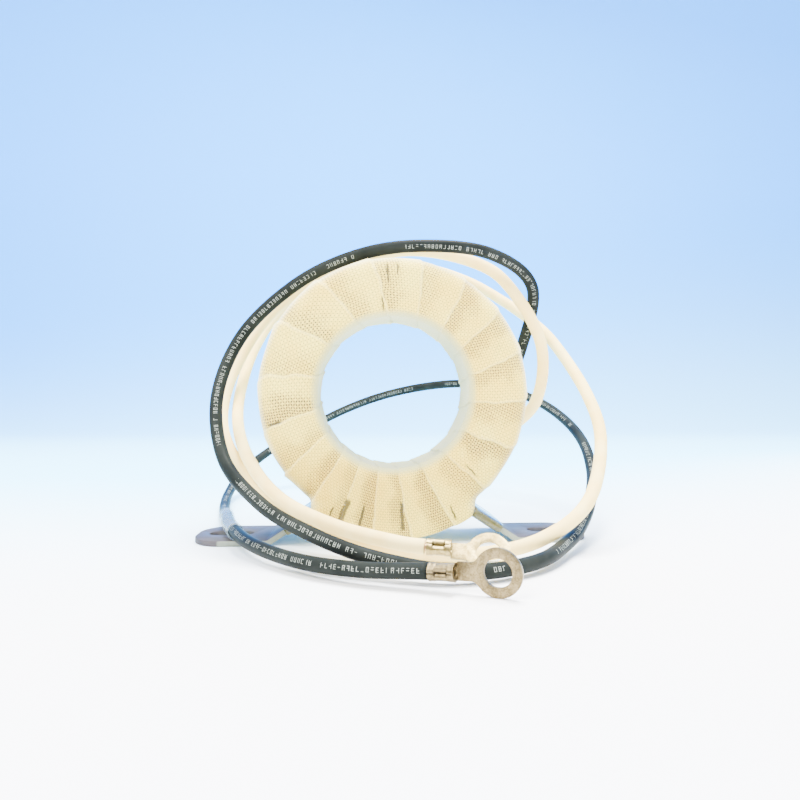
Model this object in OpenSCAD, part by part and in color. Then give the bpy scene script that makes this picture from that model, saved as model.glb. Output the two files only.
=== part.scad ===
// Ring-type current transformer: a cloth-taped toroidal coil on a bent steel
// mounting strap, with two loose leads that end in ring terminals.
// Millimetres, +Z up. The origin is on the surface that the feet stand on, midway
// between them; the coil's axis is along Y and its front faces -Y.

/* [Coil window and core] */
// Diameter of the open window through the taped coil
window_d = 41; // [36:0.5:44]
// Radial build of the strip-wound core
core_build = 7.5; // [6:0.1:8.5]
// Height of the core along the coil's axis
core_h = 15; // [12:0.5:20]
// Thickness of the insulation round the bare core
core_ins_t = 0.5; // [0.3:0.1:0.8]
// Thickness of the secondary winding over the insulated core
winding_t = 2.1; // [1.5:0.1:3]
// Thickness of the film between the winding and the cloth tape
film_t = 0.3; // [0.2:0.05:0.6]
// Corner radius of the bare core's section
core_edge_r = 0.8; // [0.3:0.1:1.5]

/* [Cloth tape] */
// Thickness of one layer of the cloth tape
tape_t = 0.45; // [0.3:0.05:0.6]
// Number of turns that the tape makes through the window
tape_turns = 18; // [15:1:22]
// Layers of tape on the outside of the coil
tape_layers = 2; // [1:1:3]
// Height of the step at the edge of each lapped turn
lap_step = 0.35; // [0.2:0.05:0.5]
// Radius that the tape makes over the edges of the strap
tape_bend_r = 0.3; // [0.2:0.05:0.6]
// How far the laps crowd together towards the strap, in degrees
lap_crowd = 10; // [0:0.5:12]
// How far the laps wander from that spacing, in degrees
lap_wander = 4.5; // [0:0.1:5]

/* [Mounting strap] */
// Overall length of the strap across both feet
strap_l = 106.8; // [100:0.2:120]
// Width of the strap
strap_w = 21.2; // [16:0.2:24]
// Thickness of the strap
strap_t = 1.5; // [1:0.1:2]
// Length of each flat foot from its end to its bend
foot_l = 20.4; // [18:0.2:24]
// Slope of the arms between the feet and the coil, in degrees
arm_slope = 33; // [28:1:38]
// Inside radius of each bend
bend_r = 1.5; // [1:0.1:2.5]
// Corner radius of the feet in plan
foot_corner_r = 8.5; // [4:0.5:10]
// Metal left between each mounting slot and the end of its foot
slot_margin = 3.3; // [2.5:0.1:5]
// Length of each mounting slot from end to end
slot_l = 12; // [8:0.2:14]
// Width of each mounting slot
slot_w = 5.2; // [4.5:0.1:6.5]
// Thickness of the pad between the strap and the coil
pad_t = 1.2; // [0.6:0.1:2]
// Thickness of the varnished sleeve on each arm
sleeve_t = 0.35; // [0.2:0.05:0.5]
// Length of the varnished sleeve that shows outside the tape
sleeve_l = 8; // [5:0.5:10]
// Gap between the ground and the tape under the strap
ground_gap = 1.35; // [1:0.05:2.5]

/* [Leads and ring terminals] */
// Outer diameter of both leads
lead_d = 3.4; // [2.8:0.1:3.8]
// Clearance round a lead where it leaves the tape
lead_clear = 0.5; // [0.3:0.05:0.8]
// Diameter of the bundle of strands inside each lead
strands_d = 1.9; // [1.6:0.1:2.2]
// Length of bare strands that shows between a lead's insulation and its terminal
bare_l = 0.5; // [0.3:0.1:1]
// Outer diameter of a terminal's ring
ring_d = 9.7; // [9:0.1:10.5]
// Diameter of the stud hole in a terminal's ring
stud_hole_d = 5.7; // [5.2:0.1:6.2]
// Thickness of a terminal's sheet
lug_t = 0.8; // [0.6:0.1:1]
// Outer diameter of a terminal's barrel
barrel_d = 3.6; // [3.4:0.1:4]
// Length of a terminal's barrel
barrel_l = 5.4; // [4.5:0.1:6.5]
// Distance from a barrel's mouth to the middle of its ring
lug_reach = 13.6; // [13:0.1:16]
// Width of a terminal's tongue between its barrel and its ring
tongue_w = 3.7; // [3:0.1:4.4]
// Fillet on each side where a terminal's tongue meets its ring
tongue_fillet = 1.8; // [1:0.1:2.5]
// Depth of the crimp that folds a terminal's barrel in along its seam
crimp_in = 0.5; // [0.3:0.05:0.7]
// Plain length at each end of a barrel, outside its crimp
crimp_margin = 1.2; // [0.8:0.1:1.6]
// How far the strands reach into a terminal's barrel
strands_in = 5; // [3:0.1:5.4]
// Length of the clear marker sleeve on the black lead
marker_l = 25; // [20:1:30]
// Outer diameter of the clear marker sleeve
marker_d = 4.4; // [4.3:0.1:5]
// Wall of the clear marker sleeve
marker_wall = 0.35; // [0.3:0.05:0.4]

/* [Node] */
// Sub-part to draw

/* [Hidden] */

// The tape crowds in the window, where each turn has less room than on the outside.
tape_out = tape_layers * tape_t;
tape_in = tape_out + 1.5 * tape_t;

// Radii of each layer of the coil, from the window outwards, and their half heights.
film_in_r = window_d / 2 + tape_in - lap_step / 2;
winding_in_r = film_in_r + film_t;
insulation_in_r = winding_in_r + winding_t;
core_in_r = insulation_in_r + core_ins_t;
core_out_r = core_in_r + core_build;
insulation_out_r = core_out_r + core_ins_t;
winding_out_r = insulation_out_r + winding_t;
film_out_r = winding_out_r + film_t;
insulation_h = core_h / 2 + core_ins_t;
winding_h = insulation_h + winding_t;
film_h = winding_h + film_t;
tape_out_r = film_out_r + tape_out;
tape_in_r = film_in_r - tape_in;
tape_h = film_h + tape_out;

// The strap lies under the coil and the tape goes round both.
saddle_r = film_out_r + pad_t + strap_t / 2;
bulge_r = saddle_r + strap_t / 2 + tape_out;
coil_z = bulge_r + ground_gap;
strap_mid_z = strap_t / 2;
bend_mid_r = bend_r + strap_t / 2;
foot_bend_x = strap_l / 2 - foot_l;
slot_span = strap_l - slot_l - 2 * slot_margin;
tape_over_strap = max(tape_h, strap_w / 2 + tape_out);

// Where the crest of each arm turns down into the saddle: the bend touches the arm
// and the saddle's arc, so its middle is one bend radius from each.
arm_dir = [-cos(arm_slope), sin(arm_slope)];
arm_under = [-sin(arm_slope), -cos(arm_slope)];
crest_start = [foot_bend_x, strap_mid_z] + bend_mid_r * arm_under - [0, coil_z];
crest_b = crest_start * arm_dir;
crest_c = crest_start * crest_start - pow(saddle_r + bend_mid_r, 2);
crest_s = -crest_b - sqrt(crest_b * crest_b - crest_c);
crest_mid = crest_start + crest_s * arm_dir + [0, coil_z];
crest_turn = atan2(coil_z - crest_mid[1], -crest_mid[0]);
saddle_half = 90 - (180 - crest_turn);
arm_start = bend_mid_r * tan(arm_slope / 2);

// Routes of the two leads, from the coil to their terminals.
black_route = [[33, 9, 42], [39, 11, 53], [40.5, 3.5, 70.5], [26.5, -4, 78.5], [6, -5, 80],
    [-11, -2, 77.5], [-27, 0.5, 70], [-41.5, 2, 56.5], [-47.5, -3, 39.5], [-44, -12.5, 23.5],
    [-33, -26, 14], [-20.5, -35.5, 8.5], [-6, -43, 4.5], [11.5, -48.5, 2.6], [29, -41.5, 2.6],
    [41.5, -26, 3.5], [49, -14, 5.5], [55.5, -2, 9.5], [61.5, 13, 16], [64.5, 29.5, 24],
    [64, 47.5, 31], [59, 64.5, 37.5], [49.5, 79.5, 42.5], [35.5, 92.5, 45], [19.5, 102, 44],
    [1, 107.5, 40], [-16.5, 109, 33.5], [-33, 106, 25], [-47.5, 96.5, 16.5], [-56, 80.5, 9],
    [-57.5, 63, 4], [-55.5, 46, 2.5], [-53, 33, 2], [-48.5, 14, 4], [-43.5, -4.5, 4],
    [-35, -23.5, 3.5], [-23, -38, 3], [-10, -47, 3.2], [4.5, -52.5, 4]];
white_route = [[33.5, 9.5, 28], [42.5, 6.5, 38], [43, 3.5, 54.5], [33.5, 3.5, 71],
    [23.5, 7, 78.5], [6.5, 13.5, 83], [-10.5, 20, 81], [-25.5, 23, 74], [-39, 22, 62],
    [-47.5, 15.5, 44.5], [-48, 6.5, 30], [-39, -5.5, 17.5], [-27, -15.5, 10.5], [-14, -23.5, 6],
    [1.5, -29, 2.5], [19, -30.5, 2], [35, -28, 5], [48.5, -21, 13], [56, -9, 27],
    [56, 1.5, 39.5], [52, 16.5, 54], [47.5, 26, 62.5], [39, 37.5, 72], [27.5, 46.5, 80.5],
    [12, 52, 86], [-5.5, 53.5, 86], [-22, 51, 80], [-36, 44, 69], [-43, 34, 56],
    [-45.5, 21.5, 42], [-44, 8, 31], [-38, -7, 21.5], [-28.5, -19, 13.5], [-15, -28, 8.5],
    [-1, -35, 6], [5.5, -37, 5.4]];
black_lug_aim = [17.8, -59.5, 4.95];
white_lug_aim = [20, -40.9, 5.1];
black_lug_lean = 0;
white_lug_lean = 38;
marker_from = 33;

$fn = 64;
lead_sides = 8;
lead_steps = 2;

// ---- curves -------------------------------------------------------------

function unit(v) = v / norm(v);

// A point of a route, which may also be one step past either end.
function route_end(route, i) =
    i < 0 ? 2 * route[0] - route[1]
    : i >= len(route) ? 2 * route[len(route) - 1] - route[len(route) - 2]
    : route[i];

// The smooth curve through a route, at u points along from its start.
function on_route(route, u) =
    let (i = min(floor(u), len(route) - 2), t = u - i,
        a = route_end(route, i - 1), b = route[i], c = route[i + 1],
        d = route_end(route, i + 2))
    b + 0.5 * t * (c - a + t * (2 * a - 5 * b + 4 * c - d + t * (3 * (b - c) + d - a)));

// Directions square to a path, each turned as little as it can be from the last.
function path_tangent(path, i) =
    unit(path[min(i + 1, len(path) - 1)] - path[max(i - 1, 0)]);
function square_to(v, t) = unit(v - (v * t) * t);
function path_sides(path) =
    [for (i = 0, s = square_to([0.3, 0.2, 1], path_tangent(path, 0)); i < len(path);
        i = i + 1, s = square_to(s, path_tangent(path, min(i, len(path) - 1)))) s];

function ring_points(path, r, sides) =
    let (across = path_sides(path))
    [for (i = [0 : len(path) - 1], k = [0 : sides - 1])
        let (s = across[i], w = cross(path_tangent(path, i), s), a = 360 * k / sides)
        path[i] + r * (cos(a) * s + sin(a) * w)];

// A closed round bar along a path.
module swept_bar(path, r, sides) {
    n = len(path);
    polyhedron(ring_points(path, r, sides), concat(
        [[for (k = [0 : sides - 1]) k]],
        [for (i = [0 : n - 2], k = [0 : sides - 1]) let (a = i * sides, e = (k + 1) % sides)
            [a + k, a + sides + k, a + sides + e, a + e]],
        [[for (k = [sides - 1 : -1 : 0]) (n - 1) * sides + k]]), convexity = 8);
}

// An open tube along a path.
module swept_tube(path, r, wall, sides) {
    n = len(path);
    m = n * sides;
    polyhedron(concat(ring_points(path, r, sides), ring_points(path, r - wall, sides)), concat(
        [for (i = [0 : n - 2], k = [0 : sides - 1]) let (a = i * sides, e = (k + 1) % sides)
            [a + k, a + sides + k, a + sides + e, a + e]],
        [for (i = [0 : n - 2], k = [0 : sides - 1]) let (a = m + i * sides, e = (k + 1) % sides)
            [a + e, a + sides + e, a + sides + k, a + k]],
        [for (k = [0 : sides - 1]) let (e = (k + 1) % sides) [k, e, m + e, m + k]],
        [for (k = [0 : sides - 1]) let (a = (n - 1) * sides, e = (k + 1) % sides)
            [a + e, a + k, m + a + k, m + a + e]]), convexity = 8);
}

// ---- coil ---------------------------------------------------------------

// Half section of a coil layer: from in_r to out_r, h each way, with round edges.
module layer_section(in_r, out_r, h, edge_r) {
    for (r = [in_r + edge_r, out_r - edge_r], y = [edge_r - h, h - edge_r])
        translate([r, y])
            circle(r = edge_r);
    translate([in_r, edge_r - h])
        square([out_r - in_r, 2 * (h - edge_r)]);
    translate([in_r + edge_r, -h])
        square([out_r - in_r - 2 * edge_r, 2 * h]);
}

module on_coil_axis() {
    translate([0, 0, coil_z])
        rotate([90, 0, 0])
            children();
}

module coil_layer(in_r, out_r, h, edge_r) {
    on_coil_axis()
        rotate_extrude()
            layer_section(in_r, out_r, h, edge_r);
}

module steel_core() {
    color([0.42, 0.43, 0.46])
        coil_layer(core_in_r, core_out_r, core_h / 2, core_edge_r);
}

module core_insulation() {
    color([0.82, 0.74, 0.52])
        difference() {
            coil_layer(insulation_in_r, insulation_out_r, insulation_h, core_edge_r + core_ins_t);
            coil_layer(core_in_r, core_out_r, core_h / 2, core_edge_r);
        }
}

module secondary_winding() {
    color([0.72, 0.38, 0.2])
        difference() {
            coil_layer(winding_in_r, winding_out_r, winding_h, core_edge_r + core_ins_t + winding_t);
            coil_layer(insulation_in_r, insulation_out_r, insulation_h, core_edge_r + core_ins_t);
            lead_holes();
        }
}

film_edge_r = core_edge_r + core_ins_t + winding_t + film_t;

module winding_film() {
    color([0.85, 0.8, 0.55])
        difference() {
            coil_layer(film_in_r, film_out_r, film_h, film_edge_r);
            coil_layer(winding_in_r, winding_out_r, winding_h, film_edge_r - film_t);
            lead_holes();
        }
}

// ---- strap --------------------------------------------------------------

// A strip bent to an arc: middle radius r, from angle a0 to a1, thickness t.
module arc_strip(middle, r, a0, a1, t) {
    reach = 2 * r + t;
    translate(middle)
        intersection() {
            difference() {
                circle(r = r + t / 2, $fn = 128);
                circle(r = r - t / 2, $fn = 128);
            }
            polygon([[0, 0], for (a = [a0 : (a1 - a0) / 2 : a1]) reach * [cos(a), sin(a)]]);
        }
}

// Side view of one arm between two distances from the foot's bend, thickness t.
module arm_strip(from, to, t) {
    translate([foot_bend_x, strap_mid_z])
        rotate(180 - arm_slope)
            translate([from, -t / 2])
                square([to - from, t]);
}

function arc_points(middle, r, a0, a1, parts, skip = 0) =
    [for (i = [0 : parts - skip]) let (a = a0 + (a1 - a0) * i / parts) middle + r * [cos(a), sin(a)]];

// One edge of the right half of the strap's side view, from the foot's end to the middle:
// side is 1 for the upper edge and -1 for the lower. skip leaves out the middle itself.
function strap_edge(side, skip = 0) =
    concat(
        [[strap_l / 2, strap_mid_z + side * strap_t / 2]],
        arc_points([foot_bend_x + arm_start, strap_mid_z + bend_mid_r],
            bend_mid_r - side * strap_t / 2, 270, 270 - arm_slope, 6),
        arc_points(crest_mid, bend_mid_r + side * strap_t / 2, 90 - arm_slope, crest_turn, 8),
        [for (p = arc_points([0, coil_z], saddle_r - side * strap_t / 2,
            270 + saddle_half, 270, 12, skip)) if (norm(p - crest_mid) > bend_mid_r + strap_t) p]);

function mirrored(points) = [for (p = points) [-p[0], p[1]]];
function backwards(points) = [for (i = [len(points) - 1 : -1 : 0]) points[i]];

// Side view of the whole strap.
module strap_side() {
    polygon(concat(strap_edge(1), backwards(mirrored(strap_edge(1, 1))),
        mirrored(strap_edge(-1)), backwards(strap_edge(-1, 1))));
}

// Lifts a side view to its place, w wide about the middle of the strap.
module across(w) {
    rotate([90, 0, 0])
        linear_extrude(w, center = true)
            children();
}

module strap_plan() {
    straight = strap_l / 2 - foot_corner_r;
    square([2 * straight, strap_w], center = true);
    square([strap_l, strap_w - 2 * foot_corner_r], center = true);
    for (x = [-straight, straight], y = [foot_corner_r - strap_w / 2, strap_w / 2 - foot_corner_r])
        translate([x, y])
            circle(r = foot_corner_r);
}

module mounting_slot() {
    half = (slot_l - slot_w) / 2;
    translate([0, 0, -1]) {
        for (x = [-half, half])
            translate([x, 0])
                cylinder(d = slot_w, h = strap_t + 2);
        translate([-half, -slot_w / 2])
            cube([2 * half, slot_w, strap_t + 2]);
    }
}

module mounting_bracket() {
    color([0.5, 0.55, 0.66])
        difference() {
            intersection() {
                across(strap_w)
                    strap_side();
                linear_extrude(coil_z)
                    strap_plan();
            }
            for (x = [-slot_span / 2, slot_span / 2])
                translate([x, 0])
                    mounting_slot();
        }
}

pad_half = saddle_half - 2;

module saddle_pad() {
    color([0.45, 0.42, 0.22])
        across(strap_w)
            arc_strip([0, coil_z], film_out_r + pad_t / 2, 270 - pad_half, 270 + pad_half, pad_t);
}

// The pad's room under the tape, run on into the film and the strap on either side of it.
module pad_space() {
    across(strap_w)
        arc_strip([0, coil_z], (film_in_r + saddle_r) / 2, 270 - pad_half, 270 + pad_half,
            saddle_r - film_in_r);
}

// The sleeve reaches from the crest down the arm.
module arm_sleeve() {
    color([0.45, 0.42, 0.2])
        difference() {
            across(strap_w + 2 * sleeve_t)
                arm_strip(crest_s - sleeve_l, crest_s, strap_t + 2 * sleeve_t);
            across(strap_w)
                arm_strip(crest_s - sleeve_l - 1, crest_s + 1, strap_t);
        }
}

module right_arm_sleeve() {
    arm_sleeve();
}

module left_arm_sleeve() {
    mirror([1, 0, 0])
        arm_sleeve();
}

// ---- cloth tape ---------------------------------------------------------

// The tape is one long helix round the coil's section: going once round the section
// moves it on by one turn, so the edge of the lap is a single line that closes on itself.
lap_phase = [0, 0.04, 0.28, 0.52, 0.76];
lap_height = [0, 1, 0.75, 0.5, 0.25];
arc_parts = 4;
lap_stations = tape_turns * len(lap_phase);

// 1 on the stretch of the coil that covers the strap, 0 on the rest, blended between.
function over_strap(a) =
    let (from_bottom = abs((a + 540) % 360 - 180), s = (saddle_half + 6 - from_bottom) / 8)
    let (c = max(0, min(1, s))) c * c * (3 - 2 * c);

// Corners of the taped section as [radius, height, edge radius, start angle].
function section_corners(a, lift) =
    let (k = over_strap(a), out_r = tape_out_r + k * (bulge_r - tape_out_r) + lift,
        in_r = tape_in_r - lift, h = (1 - k) * tape_h + k * tape_over_strap + lift,
        edge = (1 - k) * (film_edge_r + tape_out) + k * (tape_out + tape_bend_r),
        in_edge = film_edge_r)
    [[in_r + in_edge, in_edge - h, in_edge, 180], [out_r - edge, edge - h, edge, 270],
        [out_r - edge, h - edge, edge, 0], [in_r + in_edge, h - in_edge, in_edge, 90]];

section_count = 4 * (arc_parts + 1);

function section_point(a, lift, j) =
    let (c = section_corners(a, lift)[floor(j / (arc_parts + 1))],
        turn = c[3] + 90 * (j % (arc_parts + 1)) / arc_parts)
    [c[0] + c[2] * cos(turn), c[1] + c[2] * sin(turn)];

lap_start = 7.4;
crowd_from = 176.6;
wander_from = 106.4;

function lap_angle(tau) =
    let (a = 360 * tau / tape_turns)
    lap_start + a + lap_crowd * sin(a - crowd_from) + lap_wander * sin(2 * a - wander_from);

function tape_point(i, j) =
    let (n = len(lap_phase), tau = floor(i / n) + lap_phase[i % n] + j / section_count,
        a = lap_angle(tau), p = section_point(a, lap_step * lap_height[i % n], j))
    [p[0] * sin(a), p[1], coil_z - p[0] * cos(a)];

function tape_index(i, j) =
    let (on = floor(j / section_count))
    ((i + on * len(lap_phase)) % lap_stations) * section_count + j % section_count;

module tape_skin() {
    points = [for (i = [0 : lap_stations - 1], j = [0 : section_count - 1]) tape_point(i, j)];
    faces = [for (i = [0 : lap_stations - 1], j = [0 : section_count - 1])
        let (a = tape_index(i, j), b = tape_index(i + 1, j),
            c = tape_index(i + 1, j + 1), d = tape_index(i, j + 1))
        each [[a, c, b], [a, d, c]]];
    polyhedron(points, faces, convexity = 10);
}

module cloth_tape() {
    color([0.94, 0.88, 0.74])
        difference() {
            tape_skin();
            coil_layer(film_in_r, film_out_r, film_h, film_edge_r);
            pad_space();
            across(strap_w)
                strap_side();
            for (side = [0, 1])
                mirror([side, 0, 0])
                    across(strap_w + 2 * sleeve_t)
                        arm_strip(crest_s - sleeve_l, crest_s, strap_t + 2 * sleeve_t);
            lead_holes();
        }
}

// ---- leads and terminals ------------------------------------------------

// Turns +X to point along v.
module along(v) {
    rotate([0, -atan2(v[2], norm([v[0], v[1]])), atan2(v[1], v[0])])
        children();
}

function lead_path(route) =
    [for (i = [0 : lead_steps * (len(route) - 1)]) on_route(route, i / lead_steps)];

module lead(route) {
    swept_bar(lead_path(route), lead_d / 2, lead_sides);
}

module lead_holes() {
    for (route = [black_route, white_route])
        translate(route[0])
            along(route[1] - route[0])
                rotate([0, 90, 0])
                    cylinder(d = lead_d + 2 * lead_clear, h = 2 * lead_d);
}

module black_lead() {
    color([0.2, 0.25, 0.28])
        lead(black_route);
}

module white_lead() {
    color([0.95, 0.93, 0.87])
        lead(white_route);
}

// Plan of a terminal's sheet: the tongue from the barrel, fillets and the ring.
module lug_plan() {
    half = tongue_w / 2;
    ring_r = ring_d / 2;
    rise = half + tongue_fillet;
    back = sqrt(pow(ring_r + tongue_fillet, 2) - pow(rise, 2));
    turn = atan2(rise, back);
    polygon(concat(
        [[barrel_l - lug_t, -barrel_d / 4], [barrel_l, -half]],
        arc_points([lug_reach - back, -rise], tongue_fillet, 90, turn, 6, 1),
        arc_points([lug_reach, 0], ring_r, 180 + turn, 540 - turn, 48, 1),
        arc_points([lug_reach - back, rise], tongue_fillet, -turn, -90, 6),
        [[barrel_l, half], [barrel_l - lug_t, barrel_d / 4]]));
}

// A ring terminal along +X: barrel mouth at the origin, ring flat in the XY plane and
// the barrel's seam, folded in by the crimp, on its +Z side.
module ring_lug() {
    fold_r = 2 * crimp_in;
    difference() {
        union() {
            rotate([0, 90, 0])
                cylinder(d = barrel_d, h = barrel_l);
            translate([0, 0, -barrel_d / 2])
                linear_extrude(lug_t)
                    lug_plan();
        }
        translate([-1, 0, 0])
            rotate([0, 90, 0])
                cylinder(d = strands_d, h = barrel_l + 2);
        translate([crimp_margin, 0, barrel_d / 2 + crimp_in])
            rotate([0, 90, 0])
                cylinder(r = fold_r, h = barrel_l - 2 * crimp_margin);
        translate([lug_reach, 0, -barrel_d])
            cylinder(d = stud_hole_d, h = 2 * barrel_d);
    }
}

// What sits on the end of a lead, aimed at a point, with its own Y axis turned upright
// and then leaned back.
module at_lead_end(route, aim, lean) {
    end = route[len(route) - 1];
    translate(end)
        along(aim - end)
            rotate([90 - lean, 0, 0])
                children();
}

module lug_on(route, aim, lean) {
    at_lead_end(route, aim, lean)
        translate([bare_l, 0, 0])
            ring_lug();
}

module strands_on(route, aim) {
    at_lead_end(route, aim, 0)
        rotate([0, 90, 0])
            cylinder(d = strands_d, h = bare_l + strands_in);
}

module black_lead_strands() {
    color([0.8, 0.5, 0.35])
        strands_on(black_route, black_lug_aim);
}

module white_lead_strands() {
    color([0.8, 0.5, 0.35])
        strands_on(white_route, white_lug_aim);
}

module black_lead_terminal() {
    color([0.78, 0.76, 0.7])
        lug_on(black_route, black_lug_aim, black_lug_lean);
}

module white_lead_terminal() {
    color([0.78, 0.76, 0.7])
        lug_on(white_route, white_lug_aim, white_lug_lean);
}

marker_rings = 8;

module marker_sleeve() {
    span = marker_l / norm(black_route[34] - black_route[33]);
    color([0.7, 0.73, 0.74, 0.6])
        swept_tube([for (i = [0 : marker_rings]) on_route(black_route, marker_from + span * i / marker_rings)],
            marker_d / 2, marker_wall, 12);
}

steel_core();
core_insulation();
secondary_winding();
winding_film();
saddle_pad();
mounting_bracket();
left_arm_sleeve();
right_arm_sleeve();
cloth_tape();
black_lead();
white_lead();
black_lead_strands();
white_lead_strands();
black_lead_terminal();
white_lead_terminal();
marker_sleeve();
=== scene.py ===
"""Ring-type current transformer: a cloth-taped coil on a bent strap, with two loose leads."""
import math

import bmesh
import bpy
import numpy as np
from mathutils import Matrix, Vector


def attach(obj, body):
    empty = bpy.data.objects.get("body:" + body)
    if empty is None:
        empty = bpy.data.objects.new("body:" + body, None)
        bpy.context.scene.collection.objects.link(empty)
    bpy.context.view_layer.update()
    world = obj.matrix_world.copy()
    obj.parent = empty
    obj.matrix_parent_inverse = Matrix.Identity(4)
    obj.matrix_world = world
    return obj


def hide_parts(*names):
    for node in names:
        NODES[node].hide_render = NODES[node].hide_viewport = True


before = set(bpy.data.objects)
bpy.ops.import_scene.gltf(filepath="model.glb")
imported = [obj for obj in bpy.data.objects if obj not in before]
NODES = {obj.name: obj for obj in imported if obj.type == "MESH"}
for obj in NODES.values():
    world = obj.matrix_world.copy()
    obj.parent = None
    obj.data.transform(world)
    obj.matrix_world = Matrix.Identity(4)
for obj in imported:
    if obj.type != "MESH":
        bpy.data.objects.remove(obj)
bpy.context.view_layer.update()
MM = 0.001
SEED = 7

# ---- camera ---------------------------------------------------------------

EYE = Vector((-8.65, -181.3, 38.09)) * MM
EYE_TURN = math.radians(-3.4)
LENS_MM = 29.25


def make_camera():
    data = bpy.data.cameras.new("camera")
    data.lens = LENS_MM
    data.sensor_width = 36
    data.clip_start = 0.005
    data.clip_end = 20
    camera = bpy.data.objects.new("camera", data)
    camera.location = EYE
    camera.rotation_euler = (math.radians(90), 0, EYE_TURN)
    bpy.context.collection.objects.link(camera)
    bpy.context.scene.camera = camera


make_camera()

# ---- small makers ---------------------------------------------------------


def shade_smooth(mesh):
    mesh.polygons.foreach_set("use_smooth", [True] * len(mesh.polygons))


def add_mesh(name, points, faces):
    mesh = bpy.data.meshes.new(name)
    mesh.from_pydata([tuple(p) for p in points], [], faces)
    mesh.validate()
    mesh.update()
    piece = bpy.data.objects.new(name, mesh)
    bpy.context.collection.objects.link(piece)
    shade_smooth(mesh)
    return piece


def put_uv(piece, name, values):
    """values holds one (u, v) for each face corner, in the mesh's own order."""
    layer = piece.data.uv_layers.new(name=name)
    layer.data.foreach_set("uv", np.asarray(values, dtype=np.float32).ravel())


def dress(piece, material):
    piece.data.materials.clear()
    piece.data.materials.append(material)


# ---- shader expressions ---------------------------------------------------


class Value:
    """One socket in a material's tree. Arithmetic on it adds Math nodes."""

    def __init__(self, tree, socket):
        self.tree = tree
        self.socket = socket

    def _math(self, operation, *values):
        return self.tree.node("ShaderNodeMath", {"operation": operation}, list(values))

    def __add__(self, other):
        return self._math("ADD", self, other)

    __radd__ = __add__

    def __sub__(self, other):
        return self._math("SUBTRACT", self, other)

    def __rsub__(self, other):
        return self._math("SUBTRACT", other, self)

    def __mul__(self, other):
        return self._math("MULTIPLY", self, other)

    __rmul__ = __mul__

    def __truediv__(self, other):
        return self._math("DIVIDE", self, other)

    def call(self, operation, *others):
        return self._math(operation, self, *others)

    def step(self, low, high):
        """0 below low, 1 above high, smooth between."""
        return self.tree.node(
            "ShaderNodeMapRange",
            {"interpolation_type": "SMOOTHSTEP"},
            {"Value": self, "From Min": low, "From Max": high},
        )


class Finish:
    """A material: node() adds any node, mix() blends colours, done() feeds the surface."""

    def __init__(self, name):
        self.material = bpy.data.materials.new(name)
        self.material.use_nodes = True
        self.tree = self.material.node_tree
        self.surface = self.tree.nodes["Principled BSDF"]

    def node(self, kind, settings=None, inputs=(), output=0):
        made = self.tree.nodes.new(kind)
        for key, value in (settings or {}).items():
            if key == "stops":
                ramp = made.color_ramp
                while len(ramp.elements) < len(value):
                    ramp.elements.new(0.5)
                for element, (place, colour) in zip(ramp.elements, value):
                    element.position = place
                    element.color = (*colour, 1)
            else:
                setattr(made, key, value)
        pairs = inputs.items() if isinstance(inputs, dict) else enumerate(inputs)
        for key, value in pairs:
            self.feed(made.inputs[key], value)
        return Value(self, made.outputs[output])

    def feed(self, socket, value):
        if isinstance(value, Value):
            self.tree.links.new(value.socket, socket)
        elif isinstance(value, (tuple, list)) and socket.type == "RGBA":
            socket.default_value = (*value[:3], 1)
        else:
            socket.default_value = value

    def place(self):
        return self.node("ShaderNodeTexCoord", output="Object")

    def uv(self, name):
        return self.node("ShaderNodeUVMap", {"uv_map": name})

    def axis(self, vector, name):
        return self.node("ShaderNodeSeparateXYZ", inputs=[vector], output=name)

    def noise(self, vector, scale, detail=2, roughness=0.5, distortion=0.0):
        return self.node("ShaderNodeTexNoise", inputs={
            "Vector": vector, "Scale": scale, "Detail": detail, "Roughness": roughness, "Distortion": distortion,
        })

    def mix(self, mask, low, high):
        return self.node("ShaderNodeMix", {"data_type": "RGBA"}, {0: mask, 6: low, 7: high}, output=2)

    def bump(self, height, distance, strength=1.0):
        return self.node(
            "ShaderNodeBump", inputs={"Height": height, "Distance": distance, "Strength": strength}
        )

    def done(self, **sockets):
        for key, value in sockets.items():
            self.feed(self.surface.inputs[key.replace("_", " ")], value)
        return self.material


# ---- leads ----------------------------------------------------------------

LEAD_D = 3.4 * MM
LEAD_SIDES = 24
LEAD_STEPS = 16
SEEN_SMOOTHING = 61
CAP_UV = (0.5, -1)

BLACK_ROUTE = [
    (0.033, 0.009, 0.042), (0.039, 0.011, 0.053), (0.0405, 0.0035, 0.0705), (0.0265, -0.004, 0.0785),
    (0.006, -0.005, 0.08), (-0.011, -0.002, 0.0775), (-0.027, 0.0005, 0.07), (-0.0415, 0.002, 0.0565),
    (-0.0475, -0.003, 0.0395), (-0.044, -0.0125, 0.0235), (-0.033, -0.026, 0.014),
    (-0.0205, -0.0355, 0.0085), (-0.006, -0.043, 0.0045), (0.0115, -0.0485, 0.0026),
    (0.029, -0.0415, 0.0026), (0.0415, -0.026, 0.0035), (0.049, -0.014, 0.0055),
    (0.0555, -0.002, 0.0095), (0.0615, 0.013, 0.016), (0.0645, 0.0295, 0.024),
    (0.064, 0.0475, 0.031), (0.059, 0.0645, 0.0375), (0.0495, 0.0795, 0.0425),
    (0.0355, 0.0925, 0.045), (0.0195, 0.102, 0.044), (0.001, 0.1075, 0.04), (-0.0165, 0.109, 0.0335),
    (-0.033, 0.106, 0.025), (-0.0475, 0.0965, 0.0165), (-0.056, 0.0805, 0.009),
    (-0.0575, 0.063, 0.004), (-0.0555, 0.046, 0.0025), (-0.053, 0.033, 0.002),
    (-0.0485, 0.014, 0.004), (-0.0435, -0.0045, 0.004), (-0.035, -0.0235, 0.0035),
    (-0.023, -0.038, 0.003), (-0.01, -0.047, 0.0032), (0.0045, -0.0525, 0.004),
]
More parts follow.
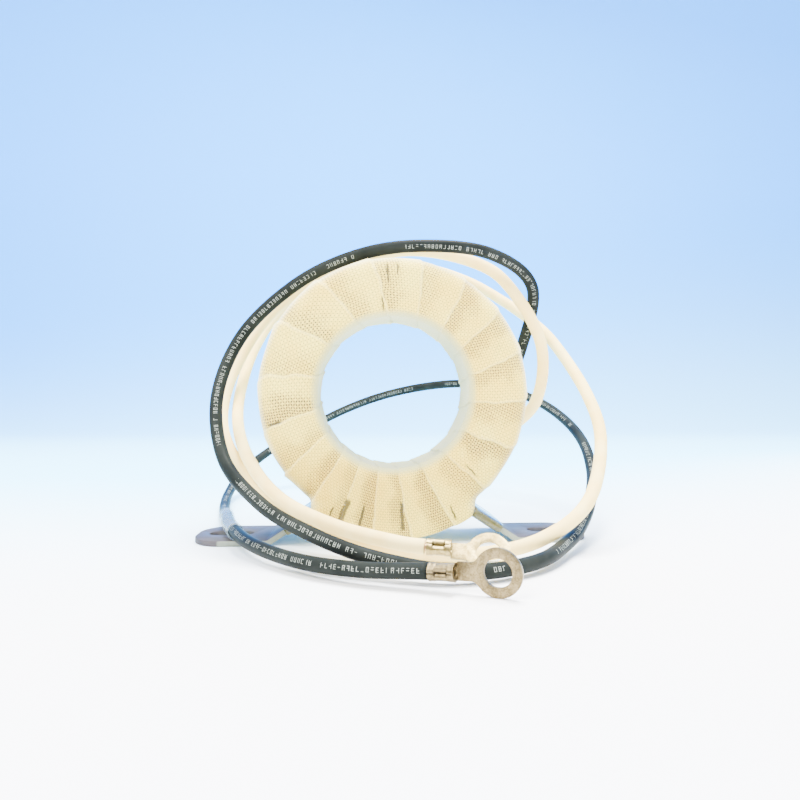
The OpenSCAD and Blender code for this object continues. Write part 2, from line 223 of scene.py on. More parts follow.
WHITE_ROUTE = [
    (0.0335, 0.0095, 0.028), (0.0425, 0.0065, 0.038), (0.043, 0.0035, 0.0545), (0.0335, 0.0035, 0.071),
    (0.0235, 0.007, 0.0785), (0.0065, 0.0135, 0.083), (-0.0105, 0.02, 0.081), (-0.0255, 0.023, 0.074),
    (-0.039, 0.022, 0.062), (-0.0475, 0.0155, 0.0445), (-0.048, 0.0065, 0.03), (-0.039, -0.0055, 0.0175),
    (-0.027, -0.0155, 0.0105), (-0.014, -0.0235, 0.006), (0.0015, -0.029, 0.0025),
    (0.019, -0.0305, 0.002), (0.035, -0.028, 0.005), (0.0485, -0.021, 0.013), (0.056, -0.009, 0.027),
    (0.056, 0.0015, 0.0395), (0.052, 0.0165, 0.054), (0.0475, 0.026, 0.0625), (0.039, 0.0375, 0.072),
    (0.0275, 0.0465, 0.0805), (0.012, 0.052, 0.086), (-0.0055, 0.0535, 0.086), (-0.022, 0.051, 0.08),
    (-0.036, 0.044, 0.069), (-0.043, 0.034, 0.056), (-0.0455, 0.0215, 0.042), (-0.044, 0.008, 0.031),
    (-0.038, -0.007, 0.0215), (-0.0285, -0.019, 0.0135), (-0.015, -0.028, 0.0085),
    (-0.001, -0.035, 0.006), (0.0055, -0.037, 0.0054),
]


def on_route(route, u):
    """The smooth curve through a route, u points along from its start."""
    points = np.array(route)
    points = np.vstack([2 * points[0] - points[1], points, 2 * points[-1] - points[-2]])
    i = min(int(u), len(route) - 2)
    t = u - i
    a, b, c, d = points[i : i + 4]
    return b + 0.5 * t * (c - a + t * (2 * a - 5 * b + 4 * c - d + t * (3 * (b - c) + d - a)))


def route_path(route, start=0.0, end=None, steps=LEAD_STEPS):
    end = len(route) - 1 if end is None else end
    count = round((end - start) * steps)
    return np.array([on_route(route, start + (end - start) * i / count) for i in range(count + 1)])


def path_frames(path):
    """Two directions square to the path at each point, turned as little as they can be."""
    tangents = np.gradient(path, axis=0)
    tangents /= np.linalg.norm(tangents, axis=1)[:, None]
    side = np.array([0.3, 0.2, 1.0])
    sides = []
    for t in tangents:
        side = side - side.dot(t) * t
        side /= np.linalg.norm(side)
        sides.append(side.copy())
    sides = np.array(sides)
    return sides, np.cross(tangents, sides)


def rings(path, radii, sides):
    """Points of one ring of the given radius round each point of a path, ring after ring."""
    across, over = path_frames(path)
    angles = np.linspace(0, 2 * math.pi, sides, endpoint=False)[None, :, None]
    spokes = np.cos(angles) * across[:, None] + np.sin(angles) * over[:, None]
    return (path[:, None] + np.broadcast_to(radii, len(path))[:, None, None] * spokes).reshape(-1, 3)


def seen_side(path):
    """The angle round a bar that looks at the camera, smoothed along the bar."""
    across, over = path_frames(path)
    to_eye = np.array(EYE) - path
    angle = np.unwrap(np.arctan2((to_eye * over).sum(1), (to_eye * across).sum(1)))
    half = SEEN_SMOOTHING // 2
    return np.convolve(np.pad(angle, half, mode="edge"), np.ones(SEEN_SMOOTHING) / SEEN_SMOOTHING, mode="valid")


def swept(name, path, radius, sides):
    """A round bar along a path: u counts turns round it from its seen side, v metres along it."""
    along = np.r_[0, np.cumsum(np.linalg.norm(np.diff(path, axis=0), axis=1))]
    seen = seen_side(path) / (2 * math.pi)
    faces, uv = [], []
    for i in range(len(path) - 1):
        for k in range(sides):
            e = (k + 1) % sides
            faces.append((i * sides + k, i * sides + e, (i + 1) * sides + e, (i + 1) * sides + k))
            for row, column in ((i, k), (i, k + 1), (i + 1, k + 1), (i + 1, k)):
                uv.append((column / sides - seen[row], along[row]))
    last = (len(path) - 1) * sides
    faces.append(tuple(range(sides - 1, -1, -1)))
    faces.append(tuple(last + k for k in range(sides)))
    uv += [CAP_UV] * (2 * sides)
    piece = add_mesh(name, rings(path, radius, sides), faces)
    put_uv(piece, "along", uv)
    return piece


black_path = route_path(BLACK_ROUTE)
white_path = route_path(WHITE_ROUTE)
black_lead = swept("black_insulated_lead", black_path, LEAD_D / 2, LEAD_SIDES)
white_lead = swept("white_insulated_lead", white_path, LEAD_D / 2, LEAD_SIDES)

MARKER_FROM = 33
MARKER_L = 25 * MM
MARKER_D = 4.4 * MM
MARKER_WALL = 0.35 * MM
MARKER_WAIST = 0.15 * MM
MARKER_SIDES = 32


def make_marker():
    """The clear sleeve on the black lead: an open tube with a slightly belled mouth."""
    step = np.linalg.norm(np.array(BLACK_ROUTE[MARKER_FROM + 1]) - np.array(BLACK_ROUTE[MARKER_FROM]))
    path = route_path(BLACK_ROUTE, MARKER_FROM, MARKER_FROM + MARKER_L / step, steps=24)
    ends = np.abs(np.linspace(-1, 1, len(path)))
    outer = MARKER_D / 2 - MARKER_WAIST * (1 - ends**6)
    sides = MARKER_SIDES
    points = np.concatenate([rings(path, outer, sides), rings(path, outer - MARKER_WALL, sides)])
    rows, inner = len(path), len(path) * sides
    faces = []
    for i in range(rows - 1):
        for k in range(sides):
            e = (k + 1) % sides
            a, b, c, d = i * sides + k, i * sides + e, (i + 1) * sides + e, (i + 1) * sides + k
            faces.append((a, b, c, d))
            faces.append((inner + d, inner + c, inner + b, inner + a))
    last = (rows - 1) * sides
    for k in range(sides):
        e = (k + 1) % sides
        faces.append((e, k, inner + k, inner + e))
        faces.append((last + k, last + e, inner + last + e, inner + last + k))
    return add_mesh("clear_marker_sleeve", points, faces)


marker = make_marker()

# ---- cloth tape -----------------------------------------------------------

TURNS = 18
LAP_START = 7.4
LAP_CROWD, CROWD_FROM = 10, 176.6
LAP_WANDER, WANDER_FROM = 4.5, 106.4
LAP_STEP = 0.35 * MM
COIL_Z = 40.15 * MM
OUT_R = 36.1 * MM
IN_R = 20.325 * MM
HALF_H = 11.3 * MM
STRAP_HALF_H = 11.5 * MM
BULGE_R = 38.8 * MM
OUT_EDGE = 4.6 * MM
IN_EDGE = 3.7 * MM
STRAP_EDGE = 1.6 * MM
# The tape stands out over the strap within this angle of the bottom, and eases back beyond it.
STRAP_HALF = 33.3
STRAP_EASE, STRAP_BLEND = 6, 8
ROUND_PARTS = 112
LAP_PARTS = 26
EDGE_LAPS = (0, 0.018, 0.036, 0.06)
CUT_EDGE = 0.4 * MM
LIP = 0.3 * MM
GATHER = 0.09 * MM
LUMP = 0.22 * MM
CREASE = 0.07 * MM
FRAY_AT = 0.03
# Gaps between turns on the front, painted in as shade: angle from the bottom, inner and outer radius, half width in
# degrees.
SLITS = [
    (3.5, 29, 36.5, 1.0), (-14.8, 31, 37, 0.8), (-23, 30.5, 36.5, 1.6), (-28, 33.5, 36.5, 0.5), (26, 33, 37, 0.6),
    (44.5, 27, 31, 0.5), (-75.2, 30, 34, 0.7), (-176.8, 29, 33.5, 0.6), (178.5, 31, 34, 0.5), (-172.5, 21.5, 25, 0.7),
]


def smooth(x):
    x = np.clip(x, 0, 1)
    return x * x * (3 - 2 * x)


def ripple(a, b, seed, waves=9, top=9):
    """A smooth, repeatable pattern of lumps over two coordinates, each closing after one unit."""
    rng = np.random.default_rng(seed)
    total = np.zeros(np.broadcast(a, b).shape)
    for _ in range(waves):
        turns, rise = rng.integers(1, top), rng.integers(-3, 4)
        phase, size = rng.uniform(0, 2 * math.pi), rng.uniform(0.4, 1)
        total = total + size * np.sin(2 * math.pi * (turns * a + rise * b) + phase)
    return total / waves


def lap_angle(tau):
    a = 2 * math.pi * tau / TURNS
    crowd = LAP_CROWD * np.sin(a - math.radians(CROWD_FROM))
    wander = LAP_WANDER * np.sin(2 * a - math.radians(WANDER_FROM))
    return a + np.radians(LAP_START + crowd + wander)


def tape_surface(tau, share, lift):
    """A point of the taped coil: tau turns along the tape, share of the way round its section."""
    angle = lap_angle(tau)
    from_bottom = np.abs((np.degrees(angle) + 540) % 360 - 180)
    k = smooth((STRAP_HALF + STRAP_EASE - from_bottom) / STRAP_BLEND)
    out_r = OUT_R + k * (BULGE_R - OUT_R) + lift
    in_r = IN_R - lift
    half = HALF_H + k * (STRAP_HALF_H - HALF_H) + lift
    edge = (1 - k) * OUT_EDGE + k * STRAP_EDGE
    corners = [
        (in_r + IN_EDGE, IN_EDGE - half, IN_EDGE, 180), (out_r - edge, edge - half, edge, 270),
        (out_r - edge, half - edge, edge, 0), (in_r + IN_EDGE, half - IN_EDGE, IN_EDGE, 90),
    ]
    # Walk the outline by length: four quarter rounds and the four straights between them.
    round_in, round_out = IN_EDGE * math.pi / 2, edge * math.pi / 2
    face = out_r - edge - in_r - IN_EDGE
    lengths = [round_in, face, round_out, 2 * (half - edge), round_out, face, round_in, 2 * (half - IN_EDGE)]
    ends = np.cumsum([np.broadcast_to(x, tau.shape) for x in lengths], axis=0)
    walk = share * ends[-1]
    r, y, normal_r, normal_y = (np.zeros(tau.shape) for _ in range(4))
    for part in range(len(lengths)):
        start = ends[part - 1] if part else np.zeros(tau.shape)
        inside = (walk >= start) & (walk <= ends[part])
        along = np.where(inside, (walk - start) / (ends[part] - start), 0)
        cr, cy, e, turn = corners[part // 2]
        if part % 2 == 0:
            a = np.radians(turn + 90 * along)
            pr, py, nr, ny = cr + e * np.cos(a), cy + e * np.sin(a), np.cos(a), np.sin(a)
        else:
            dr, dy, de, _ = corners[(part // 2 + 1) % 4]
            a = math.radians(turn + 90)
            pr = (cr + e * math.cos(a)) * (1 - along) + (dr + de * math.cos(a)) * along
            py = (cy + e * math.sin(a)) * (1 - along) + (dy + de * math.sin(a)) * along
            nr, ny = math.cos(a), math.sin(a)
        r = np.where(inside, pr, r)
        y = np.where(inside, py, y)
        normal_r = np.where(inside, nr, normal_r)
        normal_y = np.where(inside, ny, normal_y)
    return angle, r, y, normal_r, normal_y, ends[-1], k


def make_tape():
    """One lapped helix of tape round the coil: each turn ends in a low edge under the next."""
    laps = np.r_[EDGE_LAPS, np.linspace(0.1, 1, LAP_PARTS - len(EDGE_LAPS))]
    n, m = len(laps), ROUND_PARTS
    turn = np.repeat(np.arange(TURNS), n)
    lap = np.tile(laps, TURNS)
    share = np.arange(m + 1) / m
    tau = (turn + lap)[:, None] + share[None, :]
    lap_2d = np.broadcast_to(lap[:, None], tau.shape)
    share_2d = np.broadcast_to(share[None, :], tau.shape)
    rng = np.random.default_rng(SEED)
    # The helix closes on itself, so what varies from turn to turn is a smooth function of the way round the coil.
    coil = tau / TURNS
    slack = ripple(coil, 0 * tau, 21, 7, 12)
    # The turn below ends under this one, so the cloth steps down softly before its own edge.
    rise = 0.6 * LAP_STEP * smooth((lap_2d + 0.012) / 0.075) * (1 - smooth((lap_2d - 0.5) / 0.45))
    # The tape's free edge lifts a little where the turn is slack.
    slackness = smooth(ripple(coil, share_2d, 31, 12) * 3)
    lip = LIP * smooth(lap_2d / 0.03) * smooth((0.2 - lap_2d) / 0.17) * slackness
    ragged = 0.11 * ripple(coil * 2, share_2d * 3, 3, 14) + 0.03 * ripple(coil * 9, share_2d * 9, 4, 14)
    ragged = ragged * (1 - smooth(lap_2d / 0.4)) + ragged * smooth((lap_2d - 0.6) / 0.4)
    angle, r, y, nr, ny, around, k = tape_surface(tau + ragged, share_2d, rise)
    # Slack and folds: cloth gathers on the inner corners, and pulls in flat chords outside.
    out_share = (r - IN_R) / (OUT_R - IN_R)
    inner = smooth((0.5 - out_share) / 0.5)
    outer = smooth((out_share - 0.55) / 0.45)
    gather = GATHER * inner * ripple(coil * 11, share_2d * 0, 11, 12)
    lumps = LUMP * ripple(coil, share_2d, 5, 12)
    creases = CREASE * ripple(coil * 4, share_2d * 3, 8, 18)
    chord = -(0.28 + 0.22 * slack) * MM * np.sin(math.pi * lap_2d) ** 2 * outer
    # Over the strap the cloth is pulled tight, so most of that goes.
    off = (gather + lumps + creases + chord) * np.where(k > 0.5, 0.3, 1.0) + lip
    r = r + off * nr
    y = y + off * ny
    points = np.stack([r * np.sin(angle), y, COIL_Z - r * np.cos(angle)], axis=-1)[:, :m].reshape(-1, 3)
    # Laid flat, the cloth keeps its weave: distance along the turn and across the tape.
    pitch = 2 * math.pi * r / TURNS
    shift = rng.uniform(0, 1, (TURNS + 1, 2)) * 0.02
    skew = rng.uniform(-0.22, 0.22, TURNS)[turn][:, None]
    cloth_u = share_2d * around + shift[turn][:, None, 0]
    cloth_v = lap_2d * pitch + shift[turn][:, None, 1] + skew * share_2d * around
    total = n * TURNS
    faces, cloth, lay, rim = [], [], [], []
    shade = rng.uniform(0, 1, TURNS)
    # Mask for the window's painted shade and painted reflection: the inner face of the cloth.
    inside = smooth((IN_R + 1.9 * MM - r) / (1.7 * MM))
    # Mask for the outer rim's painted highlight.
    edge_band = smooth((r - OUT_R + 2.0 * MM) / (2.2 * MM)) * (1 - k)
    for i in range(total):
        is_wall = i % n == n - 1
        for j in range(m):
            corners = ((i, j), (i, j + 1), (i + 1, j + 1), (i + 1, j))
            ids = []
            for a, b in corners:
                station = (a + (n if b == m else 0)) % total
                ids.append(station * m + b % m)
            faces.append(ids)
            for a, b in corners:
                row = (i if is_wall else a) % total
                thick = CUT_EDGE if is_wall and a > i else 0
                cloth.append((cloth_u[row, b], cloth_v[row, b] + thick))
                lay.append((lap_2d[row, b], shade[turn[i]]))
                rim.append((inside[row, b], edge_band[row, b]))
    piece = add_mesh("lapped_cloth_tape", points, faces)
    for layer, values in (("cloth", cloth), ("lap", lay), ("rim", rim)):
        put_uv(piece, layer, values)
    fray = np.clip(1 - np.abs(lap_2d[:, :m] - FRAY_AT) / FRAY_AT, 0, 1)
    where = piece.data.attributes.new("fray", "FLOAT", "POINT")
    where.data.foreach_set("value", fray.astype(np.float32).ravel())
    return piece


tape = make_tape()

# ---- strap, terminals and sleeves -----------------------------------------


def rounded_copy(node, name, width):
    """A CAD node's own shape with its doubled points merged and its edges eased."""
    piece = bpy.data.objects.new(name, NODES[node].data.copy())
    bpy.context.collection.objects.link(piece)
    shape = bmesh.new()
    shape.from_mesh(piece.data)
    bmesh.ops.remove_doubles(shape, verts=shape.verts, dist=1e-6)
    bmesh.ops.dissolve_limit(shape, angle_limit=math.radians(1), verts=shape.verts, edges=shape.edges)
    shape.to_mesh(piece.data)
    shape.free()
    shade_smooth(piece.data)
    bevel = piece.modifiers.new("eased_edges", "BEVEL")
    bevel.width = width
    bevel.segments = 2
    bevel.limit_method = "ANGLE"
    bevel.angle_limit = math.radians(25)
    bevel.harden_normals = True
    piece.data.update()
    return piece


strap = rounded_copy("mounting_bracket", "bent_strap", 0.18 * MM)

ARM_SLOPE = math.radians(33)
SLEEVE_FROM, SLEEVE_TO = 13.3 * MM, 21.75 * MM
SLEEVE_LOW, SLEEVE_HIGH = 17.5 * MM, 19.7 * MM
SLEEVE_HALF_W = 10.95 * MM


def soft_sleeve(name, side):
    """A plump cloth tube over one of the strap's arms, a little puckered along its length."""
    down = np.array([side * math.cos(ARM_SLOPE), 0, -math.sin(ARM_SLOPE)])
    up = np.array([side * math.sin(ARM_SLOPE), 0, math.cos(ARM_SLOPE)])
    rows, sides = 30, 72
    run = np.linspace(0, 1, rows)[:, None]
    a = np.linspace(0, 2 * math.pi, sides, endpoint=False)[None, :]
    closed = 1 - 0.16 * (1 - smooth(run / 0.1)) - 0.16 * smooth((run - 0.9) / 0.1)
    pucker = 0.09 * MM * ripple(run * 2, a / (2 * math.pi), 17 + side, 12)
    half_h = (SLEEVE_HIGH - SLEEVE_LOW) / 2 + 0.42 * MM * closed + pucker
    half_w = SLEEVE_HALF_W + 0.3 * MM * closed + pucker
    round_y = np.sign(np.cos(a)) * np.abs(np.cos(a)) ** 0.32
    round_up = np.sign(np.sin(a)) * np.abs(np.sin(a)) ** 0.62
    middle = (SLEEVE_LOW + SLEEVE_HIGH) / 2
    s = SLEEVE_FROM + (SLEEVE_TO - SLEEVE_FROM) * run + 0 * a
    y, t = half_w * round_y, middle + half_h * round_up
    points = (s[..., None] * down + t[..., None] * up + y[..., None] * np.array([0, 1, 0])).reshape(-1, 3)
    faces = [tuple(range(sides)), tuple((rows - 1) * sides + k for k in reversed(range(sides)))]
    for i in range(rows - 1):
        for k in range(sides):
            e = (k + 1) % sides
            faces.append((i * sides + k, (i + 1) * sides + k, (i + 1) * sides + e, i * sides + e))
    piece = add_mesh(name, points, faces)
    shape = bmesh.new()
    shape.from_mesh(piece.data)
    bmesh.ops.recalc_face_normals(shape, faces=shape.faces)
    shape.to_mesh(piece.data)
    shape.free()
    return piece


left_sleeve = soft_sleeve("left_cloth_sleeve", -1)
right_sleeve = soft_sleeve("right_cloth_sleeve", 1)

# ---- ring terminals -------------------------------------------------------

BARREL_L = 5.4 * MM
BARREL_R = 1.8 * MM
CRIMP_FROM, CRIMP_TO = 1.2 * MM, 4.2 * MM
STRANDS_D = 1.9 * MM
STRANDS_IN = 5 * MM
BARE_L = 0.5 * MM
BORE_R = 0.93 * MM
LEAST_WALL = 0.25 * MM
TONGUE_OVERLAP = 0.35 * MM
STRAND_TWIST = 190.0
BLACK_AIM, BLACK_LEAN = (0.0178, -0.0595, 0.00495), 0
WHITE_AIM, WHITE_LEAN = (0.02, -0.0409, 0.0051), 38


def at_lead_end(route, aim, lean):
    """Turns +X to run from the lead's end to the aim, with the terminal's seam side up at lean 90."""
    run = Vector(aim) - Vector(route[-1])
    turn = math.atan2(run.y, run.x)
    climb = math.atan2(run.z, math.hypot(run.x, run.y))
    place = Matrix.Translation(route[-1]) @ Matrix.Rotation(turn, 4, "Z") @ Matrix.Rotation(-climb, 4, "Y")
    return place @ Matrix.Rotation(math.radians(90 - lean), 4, "X")


def rolled_barrel():
    """The barrel's sheet rolled to a butt seam, with a crimp pressed into its middle."""
    stations = np.linspace(0, 1, 46)
    angles = np.linspace(-math.pi, math.pi, 72, endpoint=False)
    x = (stations * BARREL_L)[:, None] + 0 * angles[None, :]
    a = 0 * x + angles[None, :]
    crimp = smooth((x - CRIMP_FROM) / (0.45 * MM)) * smooth((CRIMP_TO - x) / (0.45 * MM))
    seam = np.exp(-((a / 0.085) ** 2))
    press = np.exp(-((a / 0.34) ** 2))
    lobes = np.exp(-(((np.abs(a) - 0.72) / 0.28) ** 2))
    flare = smooth(1 - x / (0.7 * MM)) + 0.6 * smooth((x - BARREL_L) / (0.5 * MM) + 1)
    outer = BARREL_R + MM * (0.04 + 0.07 * flare - 0.16 * seam - crimp * (0.62 * press - 0.10 * lobes + 0.10))
    inner = np.minimum(BORE_R + 0.45 * MM * flare, outer - LEAST_WALL)
    rows, sides = x.shape

    def ring(radius):
        return np.stack([x, radius * np.sin(a), radius * np.cos(a)], -1).reshape(-1, 3)

    points = np.concatenate([ring(outer), ring(inner)])
    m = rows * sides
    steep = np.abs(np.gradient(crimp, axis=0)) * press * 3
    # The butt seam is a dark line, and painted shade darkens the crimp's pocket, its walls and the whole bore.
    dark = np.r_[np.clip(1.2 * seam + crimp * press * 0.45 + steep, 0, 1).ravel(), np.ones(m)]
    faces = []
    for i in range(rows - 1):
        for k in range(sides):
            e = (k + 1) % sides
            p, q, r, t = i * sides + k, i * sides + e, (i + 1) * sides + e, (i + 1) * sides + k
            faces.append((p, t, r, q))
            faces.append((m + q, m + r, m + t, m + p))
    last = (rows - 1) * sides
    for k in range(sides):
        e = (k + 1) % sides
        faces.append((k, e, m + e, m + k))
        faces.append((last + e, last + k, m + last + k, m + last + e))
    return points, faces, dark


def make_lug(node, name, place):
    """The CAD's tongue and ring past the barrel, and a finer rolled barrel before them."""
    plate = rounded_copy(node, name, 0.1 * MM)
    shape = bmesh.new()
    shape.from_mesh(plate.data)
    place = place @ Matrix.Translation((BARE_L, 0, 0))
    cut_at = place @ Vector((BARREL_L - TONGUE_OVERLAP, 0, 0))
    along = (place.to_3x3() @ Vector((1, 0, 0))).normalized()
    whole = shape.verts[:] + shape.edges[:] + shape.faces[:]
    bmesh.ops.bisect_plane(shape, geom=whole, plane_co=cut_at, plane_no=along, clear_inner=True)
    bmesh.ops.holes_fill(shape, edges=[edge for edge in shape.edges if edge.is_boundary])
    points, faces, dark = rolled_barrel()
    crevice = shape.verts.layers.float.new("crevice")
    added = [shape.verts.new(place @ Vector(p)) for p in points]
    for vert, value in zip(added, dark):
        vert[crevice] = value
    for face in faces:
        shape.faces.new([added[i] for i in face])
    bmesh.ops.recalc_face_normals(shape, faces=shape.faces)
    shape.to_mesh(plate.data)
    shape.free()
    shade_smooth(plate.data)
    return plate


black_place = at_lead_end(BLACK_ROUTE, BLACK_AIM, BLACK_LEAN)
white_place = at_lead_end(WHITE_ROUTE, WHITE_AIM, WHITE_LEAN)
black_lug = make_lug("black_lead_terminal", "black_lead_lug", black_place)
white_lug = make_lug("white_lead_terminal", "white_lead_lug", white_place)

# ---- what is grown with Geometry Nodes ------------------------------------


class Grower:
    """A Geometry Nodes tree with named inputs, used once on a base piece and then baked."""

    def __init__(self, name, inputs):
        self.tree = bpy.data.node_groups.new(name, "GeometryNodeTree")
        face = self.tree.interface
        face.new_socket("Geometry", in_out="INPUT", socket_type="NodeSocketGeometry")
        for key, kind in inputs.items():
            face.new_socket(key, in_out="INPUT", socket_type=kind)
        face.new_socket("Geometry", in_out="OUTPUT", socket_type="NodeSocketGeometry")
        self.given = self.tree.nodes.new("NodeGroupInput")

    def node(self, kind, inputs=None, **settings):
        made = self.tree.nodes.new(kind)
        for key, value in settings.items():
            setattr(made, key, value)
        for key, value in (inputs or {}).items():
            if isinstance(value, bpy.types.NodeSocket):
                self.tree.links.new(value, made.inputs[key])
            else:
                made.inputs[key].default_value = value
        return made.outputs

    def finish(self, geometry, material):
        whole = self.node("GeometryNodeRealizeInstances", {"Geometry": geometry})
        dressed = self.node("GeometryNodeSetMaterial", {"Geometry": whole[0], "Material": material})
        self.tree.links.new(dressed[0], self.tree.nodes.new("NodeGroupOutput").inputs[0])

    def grow(self, base, name, values):
        modifier = base.modifiers.new(self.tree.name, "NODES")
        modifier.node_group = self.tree
        for item in self.tree.interface.items_tree:
            if item.in_out == "INPUT" and item.name in values:
                modifier[item.identifier] = values[item.name]
        base.update_tag()
        ready = base.evaluated_get(bpy.context.evaluated_depsgraph_get())
        mesh = bpy.data.meshes.new_from_object(ready)
        base.modifiers.remove(modifier)
        mesh.name = name
        grown = bpy.data.objects.new(name, mesh)
        bpy.context.collection.objects.link(grown)
        shade_smooth(mesh)
        return grown


def strand_bundle(material):
    """Nineteen wires laid at the base's points along +X and twisted together."""
    g = Grower("strand_bundle", {
        "Wire radius": "NodeSocketFloat", "Length": "NodeSocketFloat", "Twist": "NodeSocketFloat",
    })
    given = g.given.outputs
    wire = g.node("GeometryNodeMeshCylinder", {
        "Vertices": 10, "Side Segments": 16, "Radius": given["Wire radius"], "Depth": given["Length"],
    })
    flat = g.node("GeometryNodeTransform", {"Geometry": wire[0], "Rotation": (0, math.pi / 2, 0)})
    wires = g.node("GeometryNodeInstanceOnPoints", {"Points": given["Geometry"], "Instance": flat[0]})
    whole = g.node("GeometryNodeRealizeInstances", {"Geometry": wires[0]})
    spot = g.node("GeometryNodeInputPosition")
    x = g.node("ShaderNodeSeparateXYZ", {0: spot[0]})
    angle = g.node("ShaderNodeMath", {0: x[0], 1: given["Twist"]}, operation="MULTIPLY")
    turned = g.node("ShaderNodeVectorRotate", {"Vector": spot[0], "Angle": angle[0], "Axis": (1, 0, 0)})
    twisted = g.node("GeometryNodeSetPosition", {"Geometry": whole[0], "Position": turned[0]})
    g.finish(twisted[0], material)
    return g


def loose_fibres(material):
    """Short curled fibres that stand out of the tape's cut edges."""
    g = Grower("loose_fibres", {
        "Density": "NodeSocketFloat", "Fibre radius": "NodeSocketFloat", "Seed": "NodeSocketInt",
    })
    given = g.given.outputs
    fray = g.node("GeometryNodeInputNamedAttribute", {"Name": "fray"}, data_type="FLOAT")
    chosen = g.node("FunctionNodeCompare", {0: fray[0], 1: 0.3}, data_type="FLOAT", operation="GREATER_THAN")
    spots = g.node("GeometryNodeDistributePointsOnFaces", {
        "Mesh": given["Geometry"], "Selection": chosen[0], "Density": given["Density"], "Seed": given["Seed"],
    })
    bow = g.node("GeometryNodeCurveQuadraticBezier", {
        "Resolution": 5, "Start": (0, 0, -0.0001), "Middle": (0.0002, 0, 0.0004), "End": (0.0007, 0.0001, 0.00045),
    })
    round_edge = g.node("GeometryNodeCurvePrimitiveCircle", {"Resolution": 4, "Radius": given["Fibre radius"]})
    fibre = g.node("GeometryNodeCurveToMesh", {"Curve": bow[0], "Profile Curve": round_edge[0], "Fill Caps": True})
    size = g.node("FunctionNodeRandomValue", {2: 0.4, 3: 1.2, "Seed": given["Seed"]}, data_type="FLOAT")
    placed = g.node("GeometryNodeInstanceOnPoints", {
        "Points": spots[0], "Instance": fibre[0], "Rotation": spots["Rotation"], "Scale": size[1],
    })
    spin = g.node("FunctionNodeRandomValue", {
        0: (-0.3, -0.3, 0), 1: (0.3, 0.3, 6.28), "Seed": given["Seed"],
    }, data_type="FLOAT_VECTOR")
    spun = g.node("GeometryNodeRotateInstances", {"Instances": placed[0], "Rotation": spin[0]})
    g.finish(spun[0], material)
    return g


def strand_spots():
    wire = STRANDS_D / 10
    spots = [(0, 0, 0)]
    for ring in (1, 2):
        for k in range(6 * ring):
            corner, along = divmod(k, ring)
            a, b = math.pi / 3 * corner, math.pi / 3 * (corner + 1)
            share = along / ring
            y = 2 * wire * ring * (math.cos(a) * (1 - share) + math.cos(b) * share)
            z = 2 * wire * ring * (math.sin(a) * (1 - share) + math.sin(b) * share)
            spots.append((0, y, z))
    return spots


def make_strands(grower, name, place):
    base = add_mesh(name + "_spots", strand_spots(), [])
    length = BARE_L + STRANDS_IN
    bundle = grower.grow(base, name, {"Wire radius": STRANDS_D / 10, "Length": length, "Twist": STRAND_TWIST})
    bpy.data.objects.remove(base)
    bundle.data.transform(place @ Matrix.Translation((length / 2, 0, 0)))
    return bundle


# ---- finishes -------------------------------------------------------------

WEAVE = 0.68 * MM
CREAM, PALE_CREAM = (0.95, 0.68, 0.07), (0.99, 0.81, 0.13)
BETWEEN_THREADS, THIN_CLOTH = (0.45, 0.27, 0.045), (0.40, 0.25, 0.05)
PINHOLE, UNDER_EDGE, LIT_EDGE = (0.025, 0.015, 0.005), (0.14, 0.09, 0.03), (0.99, 0.92, 0.50)
PAINTED_WINDOW_SHADE, PAINTED_RIM_LIGHT, PAINTED_SLIT_SHADE = (0.46, 0.48, 0.26), (0.94, 0.94, 0.66), (0.05, 0.04, 0.012)
SLIT_SOFT = 0.6
MARK_CELL = 1.05 * MM
MARK_RUN = 88 * MM


